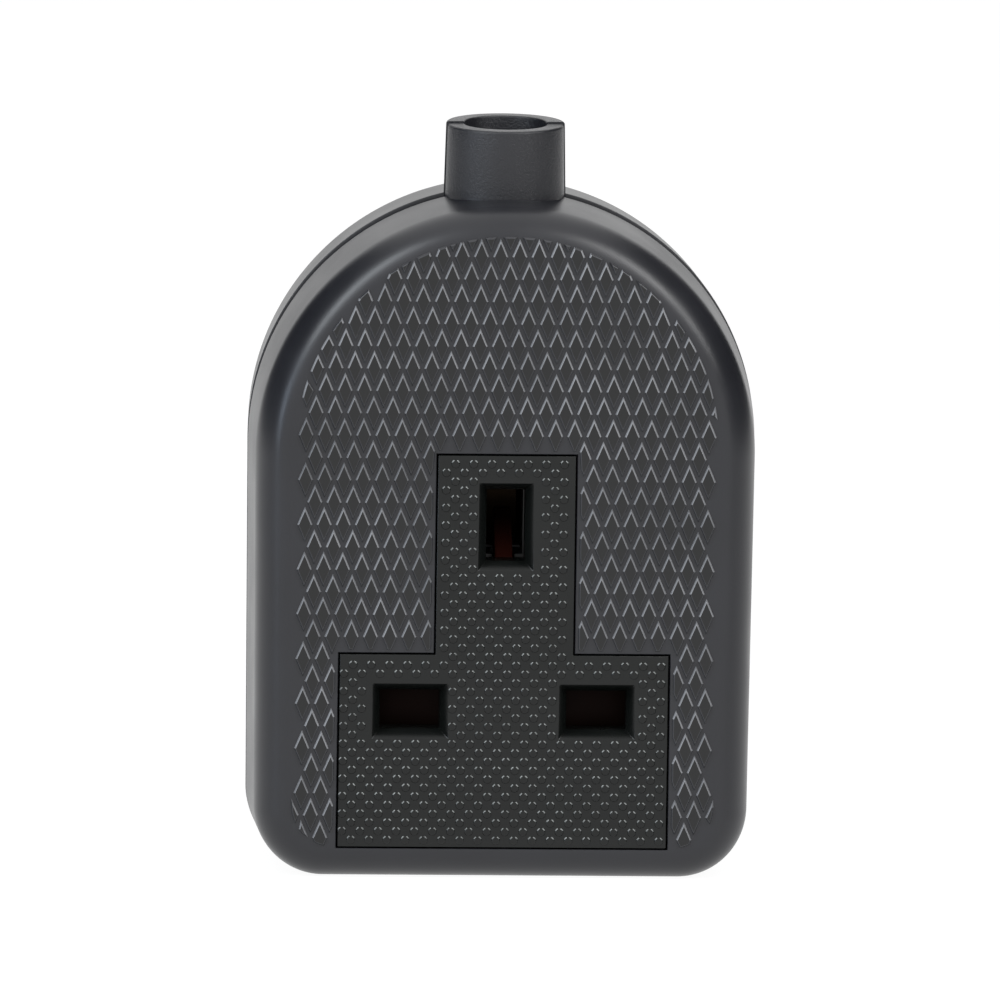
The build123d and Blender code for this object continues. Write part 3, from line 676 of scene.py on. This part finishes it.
looks = {
    "casing": {"dark": (0.013, 0.0135, 0.0165), "light": (0.022, 0.0225, 0.027), "rough": (0.28, 0.36),
               # Below: a darker colour for the lozenges' flat tops, then a painted highlight for their walls that
               # look upwards
               "darkTop": (0.004, 0.0043, 0.0047), "paintedGlint": (0.44, 0.445, 0.465), "shine": 0.5,
               "cloudScale": 90.0, "grainScale": 9000.0, "grain": 0.35, "grainDepth": 0.02,
               "coarse": {"from": 80.2, "to": 80.9, "scale": 3200.0, "strength": 0.9, "depth": 0.1}},
    "insert": {"dark": (0.003, 0.0038, 0.0034), "light": (0.006, 0.0070, 0.0065), "rough": (0.2, 0.28),
               # The colour below is a painted highlight on the pips' upper edges
               "pipGlint": (0.38, 0.4, 0.39), "shine": 0.36,
               "cloudScale": 120.0, "grainScale": 8000.0, "grain": 0.3, "grainDepth": 0.02},
    "carrier": {"dark": (0.016, 0.016, 0.016), "light": (0.022, 0.022, 0.022), "rough": (0.4, 0.5),
                "cloudScale": 120.0, "grainScale": 7000.0, "grain": 0.25, "grainDepth": 0.02},
    # The shutter's near-black colour is painted shade deep in the slots; its ramp colour is painted light
    "shutter": {"dark": (0.005, 0.0022, 0.0015), "light": (0.008, 0.003, 0.002), "rough": (0.5, 0.6), "shine": 0.05,
                "ramp": {"colour": (0.055, 0.0105, 0.0065), "high": 42.5, "low": 37.5, "end": 30.0},
                "cloudScale": 150.0, "grainScale": 7000.0, "grain": 0.2, "grainDepth": 0.02},
    # The brass's second colour is painted shade on the contacts' jaws behind the slots
    "brass": {"colour": (0.55, 0.37, 0.16), "jawShade": (0.012, 0.008, 0.005), "rough": (0.22, 0.4), "scale": 400.0,
              "stretch": (1, 1, 12)},
    "steel": {"colour": (0.56, 0.56, 0.57), "rough": (0.25, 0.45), "scale": 500.0, "stretch": (1, 1, 8)},
    "bluedSteel": {"colour": (0.03, 0.03, 0.034), "rough": (0.35, 0.5), "scale": 500.0, "stretch": (1, 1, 8)},
}
materials = {name: mouldedPlastic(name, looks[name]) for name in ("casing", "insert", "carrier", "shutter")}
materials.update({name: stampedMetal(name, looks[name]) for name in ("brass", "steel", "bluedSteel")})
print("materials ready")


def screwPosts(radius, near, far):
    return gather([post(x, z, radius, near, far) for x, z in coverScrewPlaces()])


def frontCover():
    made = newObject("front_cover_moulding", *frontShell())
    inside = casing["face"] + casing["faceWall"] / 2
    combine(made, neckHalf(-1), "UNION")
    combine(made, screwPosts(fixings["bossRadius"], inside, casing["joint"] - fixings["bossShort"]),
            "UNION")
    clampPosts = [post(side * fixings["clampX"], fixings["clampZ"], fixings["postRadius"], inside,
                       casing["joint"] - fixings["postShort"]) for side in (-1, 1)]
    combine(made, gather(clampPosts), "UNION")
    combine(made, boreTool(-1), "DIFFERENCE")
    combine(made, windowTool(), "DIFFERENCE")
    shanks = screwPosts(fixings["boreRadius"], fixings["tipDepth"], casing["joint"] + fixings["past"])
    combine(made, shanks, "DIFFERENCE")
    finishMesh(made, 32.0)
    solids = [solid for solid in map(lozengeSolid, lozengeOutlines()) if solid]
    plain = len(made.data.polygons)
    addShapes(made, solids, sharp=20.0)
    markLozenges(made.data, plain)
    print("front cover:", len(made.data.polygons), "faces,", len(solids), "lozenges")
    return settle(made, "casing", "casing", materials["casing"], "front_cover")


def faceNormals(mesh):
    normals = np.empty(len(mesh.polygons) * 3)
    mesh.polygons.foreach_get("normal", normals)
    return normals.reshape(-1, 3)


# Marks the lozenges' flat tops for a darker colour, and the walls that look upwards for a painted highlight, faint
# on the other walls
def markLozenges(mesh, plain):
    normals = faceNormals(mesh)
    added = np.arange(len(normals)) >= plain
    top = added & (normals[:, 1] < -lozenges["levelTop"])
    upwards = (normals[:, 2] > lozenges["upwards"]) & (np.abs(normals[:, 0]) > lozenges["steep"] * normals[:, 2])
    paintedGlint = np.where(upwards, 1.0, lozenges["faint"]) * (added & ~top)
    mesh.attributes.new("darkTop", "FLOAT", "FACE").data.foreach_set("value", top.astype(float))
    mesh.attributes.new("paintedGlint", "FLOAT", "FACE").data.foreach_set("value", paintedGlint)


# The stepped hole of a cover screw, with a rounded mouth at the back
def recessTool(x, z):
    edge = fixings["recessEdge"]
    steps = [(fixings["throughRadius"], fixings["throughStart"]), (fixings["throughRadius"], fixings["seat"]),
             (fixings["recessRadius"], fixings["seat"]), (fixings["recessRadius"], casing["back"] - edge),
             (fixings["recessRadius"] + edge * 0.3, casing["back"] - edge * 0.3),
             (fixings["recessRadius"] + edge, casing["back"]),
             (fixings["recessRadius"] + edge, casing["back"] + fixings["past"])]
    return pile([atDepth(circle(x, z, radius), depth) for radius, depth in steps])


def rearCover():
    made = newObject("rear_cover_moulding", *rearShell())
    combine(made, neckHalf(1), "UNION")
    inside = casing["back"] - casing["backWall"] / 2
    combine(made, screwPosts(fixings["towerRadius"], fixings["towerNear"], inside), "UNION")
    combine(made, boreTool(1), "DIFFERENCE")
    combine(made, gather([recessTool(x, z) for x, z in coverScrewPlaces()]), "DIFFERENCE")
    finishMesh(made, 32.0)
    print("rear cover:", len(made.data.polygons), "faces")
    return settle(made, "casing", "casing", materials["casing"], "rear_cover")


# Marks the upper left and upper right of each pip's edge for a painted highlight
def paintPipGlints(mesh, plain):
    normals = faceNormals(mesh)
    tilt = np.degrees(np.arccos(np.clip(-normals[:, 1], -1, 1)))
    bearing = np.degrees(np.arctan2(normals[:, 2], np.abs(normals[:, 0])))
    added = np.arange(len(normals)) >= plain
    flattest, steepest = pips["glintTilt"]
    lowest, highest = pips["glintBearing"]
    pipGlint = added & (tilt > flattest) & (tilt < steepest) & (bearing > lowest) & (bearing < highest)
    mesh.attributes.new("pipGlint", "FLOAT", "FACE").data.foreach_set("value", pipGlint.astype(float))


def socketInsert():
    made = dressed("socket_insert", edgeSizes["insert"])
    places = pipPlaces()
    plain = len(made.data.polygons)
    addShapes(made, [pipSolid(x, z) for x, z in places])
    paintPipGlints(made.data, plain)
    made.name = "socket_insert_moulding"
    print("insert:", len(made.data.polygons), "faces,", len(places), "pips")
    return settle(made, "insert", "casing", materials["insert"], "socket_insert")


spring = {"wire": 0.4, "turns": 7, "steps": 40, "sides": 10}


# A round wire carried along a helix: the wire's circle stands square to the path at every step
def shutterSpring():
    low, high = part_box("shutter_spring")
    wire, turns, steps, sides = spring.values()
    radius = (high.x - low.x) / mm / 2 - wire / 2
    turn = np.linspace(0, 2 * pi * turns, turns * steps + 1)
    length = (high.z - low.z) / mm - wire
    rise = length / (2 * pi * turns)
    flat = np.column_stack([np.cos(turn), np.sin(turn), np.zeros_like(turn)])
    path = flat * radius + np.outer(turn * rise, (0, 0, 1))
    along = np.column_stack([-np.sin(turn) * radius, np.cos(turn) * radius, np.full_like(turn, rise)])
    along /= np.linalg.norm(along, axis=1)[:, None]
    across = np.cross(along, flat)
    ring = np.linspace(0, 2 * pi, sides, endpoint=False)
    loops = path[:, None, :] + wire / 2 * (np.cos(ring)[None, :, None] * flat[:, None, :]
                                           + np.sin(ring)[None, :, None] * across[:, None, :])
    centre = np.array([(low.x + high.x) / 2, (low.y + high.y) / 2, low.z]) / mm + (0, 0, wire / 2)
    made = newObject("shutter_spring_coil", *pile(loops + centre))
    settle(made, "steel", "casing", materials["steel"], "shutter_spring")
    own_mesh(made)
    return made


contacts = {"jawHalf": 6.0}


# Marks a contact's jaws, as far as the strip to its terminal, for painted shade where they lie deep behind the
# slots
def markJawShade(mesh, node):
    points = np.empty(len(mesh.vertices) * 3)
    mesh.vertices.foreach_get("co", points)
    middle = slots["earthZ"] if node.startswith("earth") else slots["liveZ"]
    jawShade = np.abs(points[2::3] / mm - middle) < contacts["jawHalf"]
    mesh.attributes.new("jawShade", "FLOAT", "POINT").data.foreach_set("value", jawShade.astype(float))


def innerPieces():
    settle(dressed("shutter", edgeSizes["moulded"]), "shutter", "shutter", materials["shutter"], "shutter")
    settle(dressed("contact_carrier", edgeSizes["moulded"]), "carrier", "casing", materials["carrier"],
           "contact_carrier")
    settle(dressed("cord_clamp", edgeSizes["clamp"]), "clamp", "casing", materials["carrier"], "cord_clamp")
    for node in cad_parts:
        if node.endswith("_contact") or node.endswith("terminal_screw"):
            made = dressed(node, edgeSizes["brass"])
            if node.endswith("_contact"):
                markJawShade(made.data, node)
            settle(made, "brass", "casing", materials["brass"], node)
        elif node.endswith("_grip"):
            settle(dressed(node, edgeSizes["steel"]), "steel", "casing", materials["bluedSteel"], node)
        elif node.startswith(("cover_screw", "clamp_screw", "carrier_screw")):
            settle(dressed(node, edgeSizes["steel"]), "steel", "casing", materials["steel"], node)


frontCover()
rearCover()
socketInsert()
innerPieces()
shutterSpring()
print("pieces ready")

view = {"azimuth": radians(-2.9), "elevation": radians(9.0), "roll": radians(0.85), "lens": 1400.0, "width": 118.9,
        "target": (-0.8, -16.7, 45.9)}


# The camera stands on a line from its target, far enough away for the frame's width at the face
def setCamera():
    data = bpy.data.cameras.new("camera")
    data.lens = view["lens"]
    camera = bpy.data.objects.new("camera", data)
    bpy.context.scene.collection.objects.link(camera)
    azimuth, elevation = view["azimuth"], view["elevation"]
    back = Vector((sin(azimuth) * cos(elevation), -cos(azimuth) * cos(elevation), sin(elevation)))
    distance = view["width"] * mm * view["lens"] / data.sensor_width
    data.clip_start, data.clip_end = 0.01, 10
    camera.location = Vector(view["target"]) * mm + back * distance
    facing = (-back).to_track_quat("-Z", "Y")
    camera.rotation_euler = (facing.to_matrix().to_4x4() @ Matrix.Rotation(view["roll"], 4, "Z")).to_euler()
    bpy.context.scene.camera = camera


lamps = [
    {"name": "left", "place": (-0.42, -0.3, 0.46), "size": (0.14, 0.5), "power": 2.2, "colour": (0.9, 0.95, 1.0)},
    {"name": "streak", "place": (-0.56, -0.31, 0.11), "size": (0.1, 0.16), "power": 0.42,
     "colour": (0.72, 0.84, 1.0)},
    {"name": "right", "place": (0.42, -0.3, 0.46), "size": (0.14, 0.5), "power": 2.2, "colour": (1.0, 1.0, 1.0)},
]


def setLights():
    aim = Vector((0, 0, 0.045))
    for lamp in lamps:
        data = bpy.data.lights.new(lamp["name"], "AREA")
        data.shape = "RECTANGLE"
        data.size, data.size_y = lamp["size"]
        data.energy = lamp["power"]
        data.color = lamp["colour"]
        made = bpy.data.objects.new(lamp["name"], data)
        bpy.context.scene.collection.objects.link(made)
        made.location = lamp["place"]
        made.rotation_euler = (aim - made.location).to_track_quat("-Z", "Y").to_euler()


levels = {"plain": 0.6, "white": 1.0, "floor": 0.95, "pale": 0.8, "shadowed": 0.12, "reach": 3.0}


# White where the camera, a reflection or a clear material looks, and a plain level of light elsewhere
def setWorld():
    world = bpy.data.worlds.new("world")
    bpy.context.scene.world = world
    world.use_nodes = True
    tree = world.node_tree
    tree.nodes.clear()
    path = addNode(tree, "ShaderNodeLightPath")
    seen = addNode(tree, "ShaderNodeMath", {0: path.outputs["Is Camera Ray"], 1: path.outputs["Is Glossy Ray"]},
                   operation="MAXIMUM")
    seen = addNode(tree, "ShaderNodeMath", {0: seen.outputs[0], 1: path.outputs["Is Transmission Ray"]},
                   operation="MAXIMUM")
    plain = addNode(tree, "ShaderNodeBackground", {"Color": (1, 1, 1, 1), "Strength": levels["plain"]})
    white = addNode(tree, "ShaderNodeBackground", {"Color": (1, 1, 1, 1), "Strength": levels["white"]})
    mix = addNode(tree, "ShaderNodeMixShader", {0: seen.outputs[0]})
    tree.links.new(plain.outputs[0], mix.inputs[1])
    tree.links.new(white.outputs[0], mix.inputs[2])
    addNode(tree, "ShaderNodeOutputWorld", {"Surface": mix.outputs[0]})


# The floor is white to the camera and to reflections, and keeps the object's shadow in a weak plain share
def setFloor():
    reach = levels["reach"]
    mesh = bpy.data.meshes.new("floor")
    corners = [(-reach, -reach, 0), (reach, -reach, 0), (reach, reach, 0), (-reach, reach, 0)]
    mesh.from_pydata(corners, [], [(0, 1, 2, 3)])
    floor = bpy.data.objects.new("floor", mesh)
    bpy.context.scene.collection.objects.link(floor)
    material, tree = newMaterial("floor")
    path = addNode(tree, "ShaderNodeLightPath")
    pale = addNode(tree, "ShaderNodeBsdfDiffuse", {"Color": (*[levels["pale"]] * 3, 1)})
    shadowed = addNode(tree, "ShaderNodeBsdfDiffuse", {"Color": (*[levels["shadowed"]] * 3, 1)})
    white = addNode(tree, "ShaderNodeEmission", {"Color": (1, 1, 1, 1), "Strength": levels["floor"]})
    sheet = addNode(tree, "ShaderNodeAddShader")
    tree.links.new(white.outputs[0], sheet.inputs[0])
    tree.links.new(shadowed.outputs[0], sheet.inputs[1])
    seen = addNode(tree, "ShaderNodeMath", {0: path.outputs["Is Camera Ray"], 1: path.outputs["Is Glossy Ray"]},
                   operation="MAXIMUM")
    mix = addNode(tree, "ShaderNodeMixShader", {0: seen.outputs[0]})
    tree.links.new(pale.outputs[0], mix.inputs[1])
    tree.links.new(sheet.outputs[0], mix.inputs[2])
    addNode(tree, "ShaderNodeOutputMaterial", {"Surface": mix.outputs[0]})
    floor.data.materials.append(material)


# Dark backdrops upright at both sides, out of the frame, that the rounded edges mirror
backdrops = [
    {"name": "backdrop_left", "side": -0.62, "near": -0.55, "far": 1.3, "top": 1.0},
    {"name": "backdrop_right", "side": 0.62, "near": -0.55, "far": 1.3, "top": 1.0},
]


def setBackdrops():
    material, tree = newMaterial("backdrop")
    shade = addNode(tree, "ShaderNodeBsdfDiffuse", {"Color": (0.03, 0.03, 0.035, 1)})
    clear = addNode(tree, "ShaderNodeBsdfTransparent")
    path = addNode(tree, "ShaderNodeLightPath")
    mix = addNode(tree, "ShaderNodeMixShader", {0: path.outputs["Is Camera Ray"]})
    tree.links.new(shade.outputs[0], mix.inputs[1])
    tree.links.new(clear.outputs[0], mix.inputs[2])
    addNode(tree, "ShaderNodeOutputMaterial", {"Surface": mix.outputs[0]})
    for sheet in backdrops:
        side, near, far, top = sheet["side"], sheet["near"], sheet["far"], sheet["top"]
        mesh = bpy.data.meshes.new(sheet["name"])
        mesh.from_pydata([(side, near, 0.001), (side, far, 0.001), (side, far, top), (side, near, top)], [],
                         [(0, 1, 2, 3)])
        made = bpy.data.objects.new(sheet["name"], mesh)
        bpy.context.scene.collection.objects.link(made)
        made.data.materials.append(material)


setCamera()
setLights()
setWorld()
setFloor()
setBackdrops()
bpy.context.scene.view_settings.view_transform = "Standard"
print("camera, lights, floor and backdrops ready")
